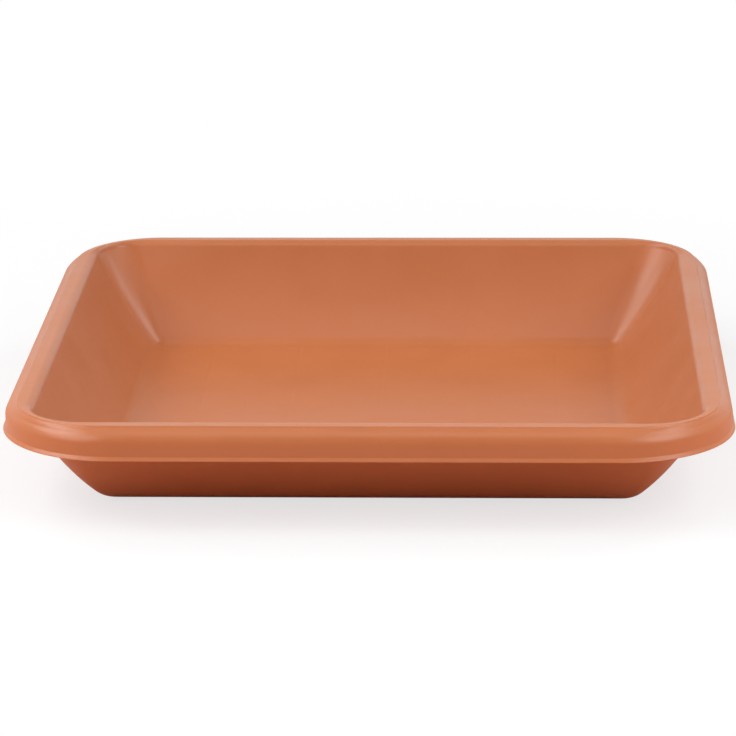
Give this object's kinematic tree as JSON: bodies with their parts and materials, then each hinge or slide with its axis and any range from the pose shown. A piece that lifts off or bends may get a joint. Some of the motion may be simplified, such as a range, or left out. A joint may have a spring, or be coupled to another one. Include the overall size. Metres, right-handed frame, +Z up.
{
  "type": "plant saucer",
  "caption": "Square plant saucer: a shallow moulded tray with leaning walls, rounded corners and a hollow turned-down rim, which catches the water from a pot.",
  "frame": {"origin": "middle of the base, on the table", "axes": "+Z up out of the tray, +X to the right and +Y to the back as the picture shows it"},
  "size_m": [0.3, 0.3, 0.0437],
  "materials": {
    "terracotta_plastic": "semi-matte moulded plastic"
  },
  "bodies": {
    "root": {"saucer_tray": "terracotta_plastic"}
  },
  "joints": []
}
